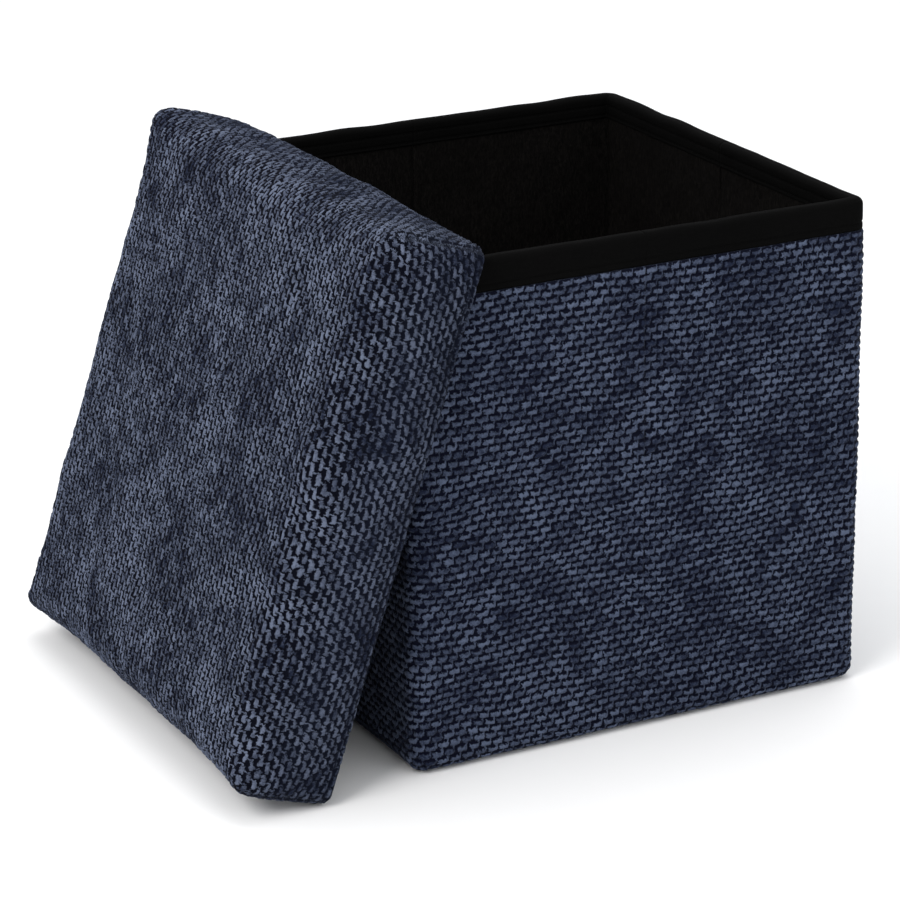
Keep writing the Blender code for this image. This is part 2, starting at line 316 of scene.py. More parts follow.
def buildWovenGroup():
    # height and random tone of short yarn floats laid like bricks, with crossing yarns between
    group, inside, outside = newGroup(
        "wovenFloats",
        [("Place", "vector", None), ("Float Pitch", "value", 0.009), ("Row Pitch", "value", 0.0054),
         ("Float End", "value", 0.8), ("Float Width", "value", 0.86), ("Ragged", "value", 0.0006)],
        [("Height", "value"), ("Tone", "value")])
    ragged = addNode(group, "TexNoise", {"Vector": inside.outputs["Place"], "Scale": floatSet["raggedScale"],
                                         "Detail": 3.0, "Roughness": 0.65})
    centred = addNode(group, "VectorMath", {0: ragged.outputs["Color"], 1: (0.5, 0.5, 0.5)},
                      operation="SUBTRACT")
    scaled = addNode(group, "VectorMath", {0: centred.outputs[0]}, operation="SCALE")
    group.links.new(mathNode(group, "MULTIPLY", inside.outputs["Ragged"], 4.0), scaled.inputs["Scale"])
    moved = addNode(group, "VectorMath", {0: inside.outputs["Place"], 1: scaled.outputs[0]}, operation="ADD")
    parts = addNode(group, "SeparateXYZ", {"Vector": moved.outputs[0]})
    rows = mathNode(group, "DIVIDE", parts.outputs["Y"], inside.outputs["Row Pitch"])
    row = mathNode(group, "FLOOR", rows)
    half = mathNode(group, "MULTIPLY", mathNode(group, "FLOORED_MODULO", row, 2.0), 0.5)
    along = mathNode(group, "DIVIDE", parts.outputs["X"], inside.outputs["Float Pitch"])
    along = mathNode(group, "ADD", along, half)
    cell = mathNode(group, "FLOOR", along)
    x = mathNode(group, "SUBTRACT", along, cell)
    signed = mathNode(group, "MULTIPLY_ADD", mathNode(group, "SUBTRACT", rows, row), 2.0, -1.0)
    y = mathNode(group, "ABSOLUTE", signed)
    spot = addNode(group, "CombineXYZ", {"X": cell, "Y": row})
    chance = addNode(group, "TexWhiteNoise", {"Vector": spot.outputs[0]}, noise_dimensions="2D")
    chances = addNode(group, "SeparateXYZ", {"Vector": chance.outputs["Color"]})
    spread = floatSet["endSpread"]
    end = mathNode(group, "SUBTRACT", inside.outputs["Float End"], spread / 2)
    end = mathNode(group, "MULTIPLY_ADD", chances.outputs["X"], spread, end)
    ends = mathNode(group, "MULTIPLY", smoothRange(group, x, 0.0, floatSet["rise"]),
                    smoothRange(group, mathNode(group, "SUBTRACT", end, x), 0.0, floatSet["fall"]))
    share = mathNode(group, "DIVIDE", y, inside.outputs["Float Width"])
    arch = mathNode(group, "SUBTRACT", 1.0, mathNode(group, "POWER", share, 2.0), clamp=True)
    arch = mathNode(group, "SQRT", arch)
    lean = mathNode(group, "MULTIPLY_ADD", chances.outputs["Y"], 0.3, 0.75)
    body = mathNode(group, "MULTIPLY", mathNode(group, "MULTIPLY", arch, ends), lean)
    upper = mathNode(group, "MULTIPLY", smoothBand(group, x, *floatSet["tie"], floatSet["tieSoft"]),
                     rangeNode(group, signed, -0.3, -0.1))
    lower = mathNode(group, "MULTIPLY", smoothBand(group, x, *floatSet["lowTie"], floatSet["tieSoft"]),
                     rangeNode(group, signed, -0.4, -0.6))
    tieHeight = mathNode(group, "MULTIPLY_ADD", chances.outputs["Z"], 0.45, 0.5)
    ties = mathNode(group, "MULTIPLY", mathNode(group, "MAXIMUM", upper, lower), tieHeight)
    group.links.new(mathNode(group, "MAXIMUM", body, ties), outside.inputs["Height"])
    group.links.new(chance.outputs["Value"], outside.inputs["Tone"])
    return group


yarnSet = {"pileScale": 1100.0, "wispScale": 330.0, "toneWeight": 0.6, "pileWeight": 1.2, "wispWeight": 1.3,
           "gapDepth": (0.62, 1.16)}


def buildChenilleGroup():
    # colour, roughness and pile of a chunky yarn, from the weave's height and tone
    group, inside, outside = newGroup(
        "chenilleYarn",
        [("Height", "value", 0.5), ("Tone", "value", 0.5), ("Place", "vector", None),
         ("Deep", "color", (0.002, 0.003, 0.009, 1)), ("Yarn", "color", (0.02, 0.025, 0.045, 1)),
         ("Pale", "color", (0.07, 0.085, 0.13, 1)), ("Patch Size", "value", 22.0),
         ("Patch Weight", "value", 0.5)],
        [("Color", "color"), ("Roughness", "value"), ("Pile", "value")])
    place = inside.outputs["Place"]
    patch = noiseNode(group, place, inside.outputs["Patch Size"], 4.0, 0.62, 0.6)
    patch = rangeNode(group, patch, 0.36, 0.64)
    pile = noiseNode(group, place, yarnSet["pileScale"], 3.0, 0.7)
    wisp = noiseNode(group, place, yarnSet["wispScale"], 2.0, 0.6)
    tone = mathNode(group, "MULTIPLY_ADD", inside.outputs["Tone"], yarnSet["toneWeight"], -0.13)
    tone = mathNode(group, "MULTIPLY_ADD", patch, inside.outputs["Patch Weight"], tone)
    tone = mathNode(group, "ADD", tone, mathNode(group, "MULTIPLY_ADD", pile, yarnSet["pileWeight"], -0.6))
    wisps = mathNode(group, "MULTIPLY_ADD", wisp, yarnSet["wispWeight"], -0.62)
    tone = mathNode(group, "ADD", tone, wisps, clamp=True)
    yarn = mixColour(group, tone, inside.outputs["Yarn"], inside.outputs["Pale"])
    fuzz = mathNode(group, "MULTIPLY_ADD", pile, 0.9, inside.outputs["Height"])
    depth = rangeNode(group, fuzz, *yarnSet["gapDepth"])
    group.links.new(mixColour(group, depth, inside.outputs["Deep"], yarn), outside.inputs["Color"])
    group.links.new(rangeNode(group, pile, 0.3, 0.7, 0.85, 1.0), outside.inputs["Roughness"])
    relief = mathNode(group, "MULTIPLY_ADD", pile, 0.5, inside.outputs["Height"])
    group.links.new(relief, outside.inputs["Pile"])
    return group


def buildFeltGroup():
    # matted fibres of a non-woven cloth or a tape
    group, inside, outside = newGroup(
        "feltFibres",
        [("Place", "vector", None), ("Base", "color", (0.01, 0.01, 0.01, 1)),
         ("Fibre", "color", (0.03, 0.03, 0.03, 1)), ("Fibre Size", "value", 900.0),
         ("Stretch", "value", 3.0)],
        [("Color", "color"), ("Roughness", "value"), ("Height", "value")])
    scale = addNode(group, "CombineXYZ", {"X": 1.0, "Y": 1.0})
    group.links.new(inside.outputs["Stretch"], scale.inputs["X"])
    group.links.new(inside.outputs["Stretch"], scale.inputs["Y"])
    stretched = addNode(group, "VectorMath", operation="MULTIPLY")
    group.links.new(inside.outputs["Place"], stretched.inputs[0])
    group.links.new(scale.outputs[0], stretched.inputs[1])
    scale.inputs["Z"].default_value = 0.5
    fine = noiseNode(group, stretched.outputs[0], inside.outputs["Fibre Size"], 4.0, 0.65, 1.2)
    cloud = noiseNode(group, inside.outputs["Place"], 14.0, 3.0, 0.6)
    amount = mathNode(group, "MULTIPLY", rangeNode(group, fine, 0.42, 0.75),
                      rangeNode(group, cloud, 0.3, 0.7, 0.5, 1.0))
    colour = mixColour(group, amount, inside.outputs["Base"], inside.outputs["Fibre"])
    group.links.new(colour, outside.inputs["Color"])
    group.links.new(rangeNode(group, fine, 0.3, 0.7, 0.82, 0.96), outside.inputs["Roughness"])
    group.links.new(fine, outside.inputs["Height"])
    return group


def startMaterial(name):
    material = bpy.data.materials.new(name)
    material.use_nodes = True
    tree = material.node_tree
    return material, tree, tree.nodes["Principled BSDF"]


def placeGroup(tree, group, values):
    node = tree.nodes.new("ShaderNodeGroup")
    node.node_tree = group
    for key, value in values.items():
        if isinstance(value, bpy.types.NodeSocket):
            tree.links.new(value, node.inputs[key])
        else:
            node.inputs[key].default_value = (*value, 1) if isinstance(value, tuple) else value
    return node


def bumpInto(tree, shader, height, strength, distance):
    bump = addNode(tree, "Bump", {"Height": height, "Strength": strength, "Distance": distance})
    tree.links.new(bump.outputs["Normal"], shader.inputs["Normal"])


def chenilleMaterial(name, look, weave):
    material, tree, shader = startMaterial(name)
    mask = addNode(tree, "Attribute", attribute_name="clothMask").outputs["Fac"]
    place = addNode(tree, "Attribute", attribute_name="clothPlace").outputs["Vector"]
    floats = placeGroup(tree, wovenGroup, {
        "Place": place, "Float Pitch": weave["floatPitch"], "Row Pitch": weave["rowPitch"],
        "Float End": weave["floatEnd"], "Float Width": weave["floatWidth"], "Ragged": look["ragged"]})
    yarn = placeGroup(tree, chenilleGroup, {
        "Height": mathNode(tree, "MULTIPLY", floats.outputs["Height"], mask),
        "Tone": mathNode(tree, "MULTIPLY", floats.outputs["Tone"], mask),
        "Place": place, "Deep": look["deep"], "Yarn": look["yarn"], "Pale": look["pale"],
        "Patch Size": look["patchScale"], "Patch Weight": look["patchWeight"]})
    # painted shade: where a piece carries the shade attribute, its colour is blended towards a dark blue,
    # darker and flatter, standing in for the shade on faces turned away from the light
    paintedShade = addNode(tree, "Attribute", attribute_name="paintedSkirtShade").outputs["Fac"]
    paintedShade = mathNode(tree, "MULTIPLY", paintedShade, look["paintedShadeWeight"])
    colour = mixColour(tree, paintedShade, yarn.outputs["Color"], look["paintedShade"])
    tree.links.new(colour, shader.inputs["Base Color"])
    tree.links.new(yarn.outputs["Roughness"], shader.inputs["Roughness"])
    bumpInto(tree, shader, yarn.outputs["Pile"], 0.7, 1.0 * mm)
    shader.inputs["Sheen Weight"].default_value = look["sheen"]
    shader.inputs["Sheen Roughness"].default_value = 0.4
    shader.inputs["Sheen Tint"].default_value = (0.6, 0.66, 0.8, 1)
    shader.inputs["Specular IOR Level"].default_value = 0.08
    return material


def feltMaterial(name, look):
    material, tree, shader = startMaterial(name)
    place = addNode(tree, "TexCoord").outputs["Object"]
    felt = placeGroup(tree, feltGroup, {"Place": place, "Base": look["base"], "Fibre": look["fibre"],
                                        "Fibre Size": look["fibreScale"], "Stretch": look["stretch"]})
    tree.links.new(felt.outputs["Color"], shader.inputs["Base Color"])
    tree.links.new(felt.outputs["Roughness"], shader.inputs["Roughness"])
    bumpInto(tree, shader, felt.outputs["Height"], look["bump"], 0.3 * mm)
    shader.inputs["Sheen Weight"].default_value = look["sheen"]
    shader.inputs["Sheen Roughness"].default_value = 0.5
    shader.inputs["Specular IOR Level"].default_value = 0.03
    return material


def boardMaterial(name, look):
    # pressed grey-brown fibreboard with flecks
    material, tree, shader = startMaterial(name)
    place = addNode(tree, "TexCoord").outputs["Object"]
    fleck = noiseNode(tree, place, look["fleckScale"], 5.0, 0.7)
    cloud = noiseNode(tree, place, 30.0, 3.0, 0.6)
    colour = mixColour(tree, rangeNode(tree, fleck, 0.35, 0.68), look["dark"], look["light"])
    colour = mixColour(tree, rangeNode(tree, cloud, 0.3, 0.7, 0.0, 0.35), colour, look["stain"])
    tree.links.new(colour, shader.inputs["Base Color"])
    tree.links.new(rangeNode(tree, fleck, 0.3, 0.7, 0.7, 0.9), shader.inputs["Roughness"])
    bumpInto(tree, shader, fleck, 0.3, 0.2 * mm)
    return material


wovenGroup = buildWovenGroup()
chenilleGroup = buildChenilleGroup()
feltGroup = buildFeltGroup()

# the shade colour and weight paint shade onto the lid's sides; the box cloth carries no shade attribute, so
# it is not darkened
boxCloth = chenilleMaterial("boxChenille", {
    "deep": (0.0016, 0.0024, 0.0085), "yarn": (0.0095, 0.0135, 0.030), "pale": (0.080, 0.100, 0.155),
    "patchScale": 20.0, "patchWeight": 0.55, "ragged": 1.25 * mm, "sheen": 0.05,
    "paintedShade": (0.006, 0.009, 0.020), "paintedShadeWeight": 0.35}, wallWeave)
lidCloth = chenilleMaterial("lidChenille", {
    "deep": (0.0008, 0.0012, 0.0045), "yarn": (0.0080, 0.0115, 0.026), "pale": (0.116, 0.138, 0.200),
    "patchScale": 18.0, "patchWeight": 0.62, "ragged": 1.2 * mm, "sheen": 0.02,
    "paintedShade": (0.006, 0.009, 0.020), "paintedShadeWeight": 0.35}, lidWeave)
liningCloth = feltMaterial("blackLining", {
    "base": (0.0020, 0.0018, 0.0017), "fibre": (0.0120, 0.0108, 0.0101), "fibreScale": 420.0,
    "stretch": 2.0, "bump": 0.35, "sheen": 0.0})
tapeCloth = feltMaterial("blackTape", {
    "base": (0.0012, 0.0012, 0.0012), "fibre": (0.0040, 0.0039, 0.0038), "fibreScale": 1400.0,
    "stretch": 1.5, "bump": 0.4, "sheen": 0.0})
fibreBoard = boardMaterial("fibreBoard", {
    "dark": (0.17, 0.135, 0.095), "light": (0.34, 0.285, 0.215), "stain": (0.22, 0.19, 0.15),
    "fleckScale": 700.0})
print("materials ready")


# the walls' plan: one quarter, from a wall's middle round the corner to the crease

def quarterPath(inset, radius, endGap, step):
    # distances, points and outward normals in the quarter where x and y are positive
    halfX = box["halfWidth"] - inset
    halfY = box["halfDepth"] - inset
    straight = halfX - radius
    arcLength = radius * math.pi / 2
    toHinge = straight + arcLength + halfY - radius + box["hingeY"]
    total = straight + arcLength + halfY - radius - endGap
    first = np.linspace(0, toHinge, max(2, round(toHinge / step)) + 1)
    second = np.linspace(toHinge, total, max(2, round((total - toHinge) / step)) + 1)
    p = np.concatenate([first, second[1:]])
    turn = np.clip((p - straight) / arcLength, 0, 1) * math.pi / 2
    x = np.minimum(p, straight) + radius * np.sin(turn)
    y = halfY - radius + radius * np.cos(turn) - np.clip(p - straight - arcLength, 0, None)
    normal = np.stack([np.sin(turn), np.cos(turn), np.zeros_like(p)], 1)
    return p, np.stack([x, y, np.zeros_like(p)], 1), normal, len(first) - 1


def insetPlace(points, normals, inset):
    # each column's point drawn in from the outer face; tight inner corners stay round
    radius = np.maximum(box["cornerRadius"] - inset, 0.5 * mm)
    centreX = box["halfWidth"] - inset - radius
    centreY = box["halfDepth"] - inset - radius
    nx, ny = normals[:, None, 0], normals[:, None, 1]
    turning = (nx > 1e-9) & (ny > 1e-9)
    x = np.where(turning | (ny < 0.5), centreX + radius * nx, np.minimum(points[:, None, 0], centreX))
    y = np.where(turning | (nx < 0.5), centreY + radius * ny, np.minimum(points[:, None, 1], centreY))
    return np.stack([x, y, np.zeros_like(x)], 2)


quarters = []
for sideY, end, endWall, wall in ((-1, "Front", "base", "front_wall"), (1, "Rear", "back_wall", "back_wall")):
    for sideX, side in ((-1, "Left"), (1, "Right")):
        quarters.append({"name": end + side, "sideX": sideX, "sideY": sideY, "endWall": endWall, "wall": wall,
                         "panel": side.lower() + "_" + end.lower()})
jointed = {frozenset((j["parent"], j["child"])) for j in frame["joints"]}


def dress(piece, material):
    piece.data.materials.append(material)


def turnToQuarter(points, quarter):
    return points * np.array([quarter["sideX"], quarter["sideY"], 1.0])


def finishQuarter(build, quarter, hinge, part, material):
    # one piece across the corner's joint, left where it is made, or two where the linkage is open there
    bends = frozenset((quarter["endWall"], quarter["panel"])) in jointed
    spans = [(0, None, "")] if bends else [(0, hinge + 1, "Wall"), (hinge, None, "Panel")]
    for low, high, suffix in spans:
        piece = build(low, high, suffix)
        dress(piece, material)
        boards = [quarter["wall"] + "_board"] if suffix == "Wall" else [quarter["panel"] + "_board"]
        boards += [quarter["wall"] + "_board"] if bends else []
        if bends:
            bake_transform(piece)
            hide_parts(quarter["wall"] + part, quarter["panel"] + part)
        else:
            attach(piece, quarter["panel"] if suffix == "Panel" else quarter["endWall"])
            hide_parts((quarter["panel"] if suffix == "Panel" else quarter["wall"]) + part)


# outer cloth of the walls

clothSet = {"column": 1.5 * mm, "row": 1.1 * mm, "creaseGap": 0.15 * mm, "undersideRun": 1 * mm,
            "wave": 0.4 * mm, "seat": 0.45, "foldWidth": 42 * mm, "foldDepth": 1.6 * mm}


def buildWallCloth(quarter):
    p, points, normals, hinge = quarterPath(0, box["cornerRadius"], clothSet["creaseGap"], clothSet["column"])
    radius = box["bottomRadius"]
    arcRun = radius * math.pi / 2
    lowRun = arcRun + clothSet["undersideRun"]
    top = box["rimFoot"] - 0.1 * mm
    straightRun = top - radius
    lowRows = round(lowRun / clothSet["row"])
    highRows = round(straightRun / clothSet["row"])
    v = np.concatenate([np.linspace(-lowRun, 0, lowRows + 1)[:-1], np.linspace(0, straightRun, highRows + 1)])
    grounded = quarter["endWall"] == "base"
    onWall = (np.arange(len(p)) <= hinge) & grounded
    foot = box["panelFoot"] + 0.1 * mm

    turn = np.clip(-v / radius, 0, math.pi / 2)
    wallInset = radius * (1 - np.cos(turn)) + np.clip(-v - arcRun, 0, None)
    wallHeight = np.where(v < 0, radius * (1 - np.sin(turn)), radius + v)
    lift = np.linspace(0, 0.02 * mm, len(v))
    panelHeight = np.maximum(radius + v, foot + lift)
    useWall = onWall[:, None]
    inset = np.where(useWall, wallInset[None, :], 0.0)
    height = np.where(useWall, wallHeight[None, :], panelHeight[None, :])
    uu, vv = np.meshgrid(quarter["sideX"] * p, v + radius, indexing="ij")
    uu = uu + (1.7 if quarter["sideY"] > 0 else 0.0)
    uu, vv = driftCloth(uu, vv, wallWeave, 21)
    raised = weaveHeight(uu, vv, wallWeave)
    calm = np.clip((v + lowRun) / (4 * mm), 0, 1)[None, :]
    calmPanel = np.clip((radius + v - foot) / (2 * mm), 0, 1)[None, :]
    calm = np.where(useWall, calm, calmPanel) * np.clip((straightRun - v) / (2 * mm), 0.2, 1)[None, :]
    wave = clothSet["wave"] * softNoise(uu, vv, 110 * mm, 31)
    proud = wallWeave["relief"] * (raised - clothSet["seat"]) * calm + wave * calm
    fold = np.clip(1 - (p[-1] - p) / clothSet["foldWidth"], 0, 1)[:, None]
    proud = proud - clothSet["foldDepth"] * fold
    lean = np.where(useWall & (v < 0)[None, :], np.sin(turn)[None, :], 0.0)
    outer = insetPlace(points, normals, inset)
    outer = outer + normals[:, None, :] * (np.sqrt(1 - lean ** 2) * proud)[:, :, None]
    outer[:, :, 2] = np.maximum(height - lean * proud, 0.3 * mm)
    back = np.repeat((points - normals * box["coverThickness"])[:, None, :], 2, 1)
    back[:, 0, 2] = np.where(onWall, box["coverThickness"], foot)
    back[:, 1, 2] = top

    def build(low, high, suffix):
        cut = slice(low, high)
        piece = shellFromGrid("wallCloth" + quarter["name"] + suffix, turnToQuarter(outer[cut], quarter),
                              turnToQuarter(back[cut], quarter))
        setCloth(piece, uu[cut], vv[cut], np.ones_like(uu[cut]))
        return piece

    finishQuarter(build, quarter, hinge, "_cover", boxCloth)


for quarter in quarters:
    buildWallCloth(quarter)
print("wall cloth laid")


# black lining of the walls

liningSet = {"column": 4 * mm, "row": 5 * mm, "wave": 0.45 * mm, "cornerRadius": 2 * mm}


def buildWallLining(quarter):
    inset = box["liningInset"]
    p, points, normals, hinge = quarterPath(inset, liningSet["cornerRadius"], 0.3 * mm, liningSet["column"])
    top = rimHigh[2] - 3.6 * mm
    foot = box["panelFoot"] + 0.1 * mm
    z = np.linspace(foot, top, round((top - foot) / liningSet["row"]))
    pp, zz = np.meshgrid(p * quarter["sideX"], z, indexing="ij")
    wave = softNoise(pp + quarter["sideY"], zz, 70 * mm, 41) + 0.35 * softNoise(pp, zz, 18 * mm, 43)
    calm = np.clip((top - zz) / (30 * mm), 0.25, 1)
    outer = points[:, None, :] + normals[:, None, :] * (liningSet["wave"] * wave * calm)[:, :, None]
    outer[:, :, 2] = zz
    back = np.repeat((points + normals * 1.1 * mm)[:, None, :], 2, 1)
    back[:, 0, 2] = foot
    back[:, 1, 2] = top

    def build(low, high, suffix):
        cut = slice(low, high)
        return shellFromGrid("wallLining" + quarter["name"] + suffix, turnToQuarter(outer[cut], quarter),
                             turnToQuarter(back[cut], quarter))

    finishQuarter(build, quarter, hinge, "_lining", liningCloth)


for quarter in quarters:
    buildWallLining(quarter)
print("wall linings laid")


# strip of lining over the panel's end at the corner where the linkage is open

endStrip = {"thick": 0.35 * mm, "clear": 0.05 * mm, "row": 6 * mm, "wave": 0.06 * mm}


def buildEndStrip():
    low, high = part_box("right_rear_board")
    top, foot = high[2], low[2]
    x = np.linspace(low[0] + 0.05 * mm, high[0] - 0.05 * mm, 7)
    z = np.linspace(foot, top, round((top - foot) / endStrip["row"]))
    xx, zz = np.meshgrid(x, z, indexing="ij")
    y = high[1] + endStrip["clear"] + endStrip["thick"] + endStrip["wave"] * softNoise(xx, zz, 40 * mm, 47)
    outer = np.stack([xx, y, zz], 2)
    back = np.stack([xx[:, [0, -1]], np.full((len(x), 2), high[1] + endStrip["clear"]), zz[:, [0, -1]]], 2)
    piece = shellFromGrid("panelEndStrip", outer, back)
    dress(piece, liningCloth)
    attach(piece, "right_rear")


buildEndStrip()


# rim binding: a tape folded over the wall's top, sewn through with two rows of stitches

rimSet = {"step": 2 * mm, "outerRadius": 5 * mm, "innerRadius": 3.8 * mm, "innerFoot": 18 * mm,
          "wave": 0.5 * mm, "stitchPitch": 3.4 * mm, "stitchLength": 2.5 * mm, "stitchRadius": 0.33 * mm,
          "stitchDrops": (8.2 * mm, 15.2 * mm), "outerSeam": 5 * mm}


def rimSection():
    # inset from the outer face and height, from the outer foot over the top to the inner foot
    top = rimHigh[2]
    low = box["rimFoot"]
    thick = box["rimThickness"]
    outer, inner = rimSet["outerRadius"], rimSet["innerRadius"]
    rows = [(0.9 * mm, low + 0.1 * mm), (0.25 * mm, low + 0.5 * mm), (0, low + 1.3 * mm)]
    rows += [(0, z) for z in np.linspace(low + 2 * mm, top - outer - 0.5 * mm, 22)]
    for a in np.linspace(0, math.pi / 2, 9):
        rows.append((outer * (1 - math.cos(a)), top - outer * (1 - math.sin(a))))
    for a in np.linspace(math.pi / 2, 0, 8):
        rows.append((thick - inner * (1 - math.cos(a)), top - inner * (1 - math.sin(a))))
    foot = top - rimSet["innerFoot"]
    rows += [(thick, z) for z in np.linspace(top - inner - 0.5 * mm, foot + 0.8 * mm, 22)]
    rows += [(thick - 0.35 * mm, foot + 0.3 * mm), (thick - 0.85 * mm, foot)]
    return np.array(rows)


def stitchBeads(outer, section):
    # one small thread bead per stitch, sunk a little into the tape
    points, faces = [], []
    rings = [(-0.5, 0.25), (-0.3, 0.9), (0, 1.0), (0.3, 0.9), (0.5, 0.25)]
    around = np.linspace(0, 2 * math.pi, 7)[:-1]
    innerRows = np.arange(len(section))[section[:, 0] > 11.9 * mm]
    for drop in rimSet["stitchDrops"]:
        row = innerRows[np.argmin(np.abs(rimHigh[2] - drop - section[innerRows, 1]))]
        line = outer[:, row]
        run = np.concatenate([[0], np.cumsum(np.linalg.norm(np.diff(line, axis=0), axis=1))])
        for centre in np.arange(rimSet["stitchPitch"] * 0.6, run[-1] - 2 * mm, rimSet["stitchPitch"]):
            start = len(points)
            before, after = (np.array([np.interp(centre + d * mm, run, line[:, k]) for k in range(3)])
                             for d in (-1, 1))
            forward = (after - before) / np.linalg.norm(after - before)
            inward = np.cross(forward, (0, 0, 1))
            middle = (before + after) / 2
            for share, size in rings:
                for angle in around:
                    out = rimSet["stitchRadius"] * size
                    spot = middle + forward * share * rimSet["stitchLength"] + inward * out * math.cos(angle)
                    points.append(spot + np.array([0, 0, out * math.sin(angle)]))
            for r in range(4):
                for k in range(6):
                    a, b = start + r * 6 + k, start + r * 6 + (k + 1) % 6
                    faces.append([a, b, b + 6, a + 6])
            faces.append([start + k for k in range(6)][::-1])
            faces.append([start + 24 + k for k in range(6)])
    return np.array(points), faces


def addIslands(piece, points, faces):
    islands = faceOut(makeMesh("islands", points, faces))
    whole = bmesh.new()
    whole.from_mesh(piece.data)
    whole.from_mesh(islands.data)
    whole.to_mesh(piece.data)
    whole.free()
    bpy.data.objects.remove(islands)


def buildRim(quarter):
    p, points, normals, hinge = quarterPath(0, box["cornerRadius"], 0.15 * mm, rimSet["step"])
    section = rimSection()
    inset = np.repeat(section[None, :, 0], len(p), 0)
    height = np.repeat(section[None, :, 1], len(p), 0)
    along = p * quarter["sideX"] + 2.0 * quarter["sideY"]
    pp, zz = np.meshgrid(along, section[:, 1], indexing="ij")
    inner = np.clip((inset - 6 * mm) / (3 * mm), 0, 1)
    foot = np.clip((rimHigh[2] - rimSet["outerRadius"] - height) / (5 * mm), 0, 1)
    ends = np.clip(np.minimum(p, p[-1] - p) / (12 * mm), 0, 1)
    ends = (ends * ends * (3 - 2 * ends))[:, None]
    wave = (softNoise(pp, zz * 0.5, 38 * mm, 51) * 0.6 + softNoise(pp, zz, 13 * mm, 53) * 0.35) * ends
    inset = inset + rimSet["wave"] * wave * np.where(inner > 0, -0.7 * foot * (wave > 0), 0.5)
    topMost = np.clip((height - box["rimFoot"]) / (rimHigh[2] - box["rimFoot"]), 0, 1)
    sway = softNoise(along, 0, 60 * mm, 55)[:, None] * ends - 0.6
    height = height + rimSet["wave"] * 0.8 * sway * topMost
    for drop in rimSet["stitchDrops"]:
        inset = inset - np.exp(-((rimHigh[2] - drop - height) / (0.9 * mm)) ** 2) * inner * 0.55 * mm
    seam = np.exp(-((height - box["rimFoot"] - rimSet["outerSeam"]) / (0.7 * mm)) ** 2)
    inset = inset + seam * (1 - inner) * 0.7 * mm
    outer = insetPlace(points, normals, inset)
    outer[:, :, 2] = height
    crown = rimHigh[2] - 3.2 * mm
    backSection = np.array([(3 * mm, box["rimFoot"] + 0.1 * mm), (3 * mm, crown), (11.05 * mm, crown),
                            (11.05 * mm, rimHigh[2] - rimSet["innerFoot"])])
    backRows = insetPlace(points, normals, np.repeat(backSection[None, :, 0], len(p), 0))
    backRows[:, :, 2] = backSection[:, 1]

    def build(low, high, suffix):
        cut = slice(low, high)
        rings = np.concatenate([outer[cut], backRows[cut][:, ::-1]], 1)
        rim = ringShell("rimBinding" + quarter["name"] + suffix, turnToQuarter(rings, quarter))
        beads, beadFaces = stitchBeads(outer[cut], section)
        addIslands(rim, turnToQuarter(beads, quarter), beadFaces)
        return rim

    finishQuarter(build, quarter, hinge, "_binding", tapeCloth)


for quarter in quarters:
    buildRim(quarter)
print("rim bound")


# base tray: cloth round the edge, felt below, lining on the floor

baseSet = {"column": 2.2 * mm, "row": 1.3 * mm, "topRun": 9 * mm, "lowRun": 9 * mm}


def basePath(step):
    # from the front end of the left side round the back to the front end of the right side
    halfX, halfY, radius = box["halfWidth"], box["halfDepth"], box["cornerRadius"]
    front = trayLow[1]
    side = halfY - radius - front
    arc = radius * math.pi / 2
    width = 2 * (halfX - radius)
    total = 2 * side + 2 * arc + width
    p = np.linspace(0, total, round(total / step))
    first = np.clip((p - side) / arc, 0, 1) * math.pi / 2
    second = np.clip((p - side - arc - width) / arc, 0, 1) * math.pi / 2
    turn = first + second
    x = -halfX + radius * (1 - np.cos(first)) + np.clip(p - side - arc, 0, width) + radius * np.sin(second)
    y = front + np.minimum(p, side) + radius * np.sin(first) - radius * (1 - np.cos(second))
    y = y - np.clip(p - side - 2 * arc - width, 0, None)
    normal = np.stack([-np.cos(turn), np.sin(turn), np.zeros_like(p)], 1)
    return p, np.stack([x, y, np.zeros_like(p)], 1), normal


def buildBase():
    p, points, normals = basePath(baseSet["column"])
    radius, top = box["bottomRadius"], box["trayTop"]
    low = np.linspace(baseSet["lowRun"], 0, 6)
    arc = np.linspace(0, math.acos(1 - top / radius), 14)
    section = [(radius + d, 0.35 * mm, 0.0, -1.0) for d in low[:-1]]
    section += [(radius * (1 - math.sin(a)), radius * (1 - math.cos(a)), math.sin(a), -math.cos(a))
                for a in arc]
    section += [(1.0 * mm, top, 0.3, 0.0), (2.2 * mm, top, 0.0, 0.0), (baseSet["topRun"], top, 0.0, 0.0)]
    section = np.array(section)
    run = np.concatenate([[0], np.cumsum(np.hypot(*np.diff(section[:, :2], axis=0).T))])
    uu, vv = np.meshgrid(p + 3.1, run, indexing="ij")
    uu, vv = driftCloth(uu, vv, wallWeave, 21)
    proud = wallWeave["relief"] * 0.6 * (weaveHeight(uu, vv, wallWeave) - 0.6)
    inset = np.minimum(section[:, 0], box["cornerRadius"] * 0.92)
    straight = (normals[:, 0] ** 2 > 0.999) | (normals[:, 1] ** 2 > 0.999)
    inset = np.where(straight[:, None], section[None, :, 0], inset[None, :])
    out = proud * section[None, :, 2] - inset
    outer = points[:, None, :] + normals[:, None, :] * out[:, :, None]
    outer[:, :, 2] = np.clip(section[None, :, 1] + proud * section[None, :, 3], 0.2 * mm, None)
    piece = ringShell("baseCloth", outer)
    setCloth(piece, uu, vv, np.ones_like(uu))
    dress(piece, boxCloth)
    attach(piece, "base")
    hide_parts("base_cover")


def slabLine(low, high, step):
    # places across a slab, close together at its rounded edges
    middle = np.linspace(low + 1.5 * mm, high - 1.5 * mm, round((high - low) / step))
    return np.concatenate([[low, low + 0.3 * mm], middle, [high - 0.3 * mm, high]])


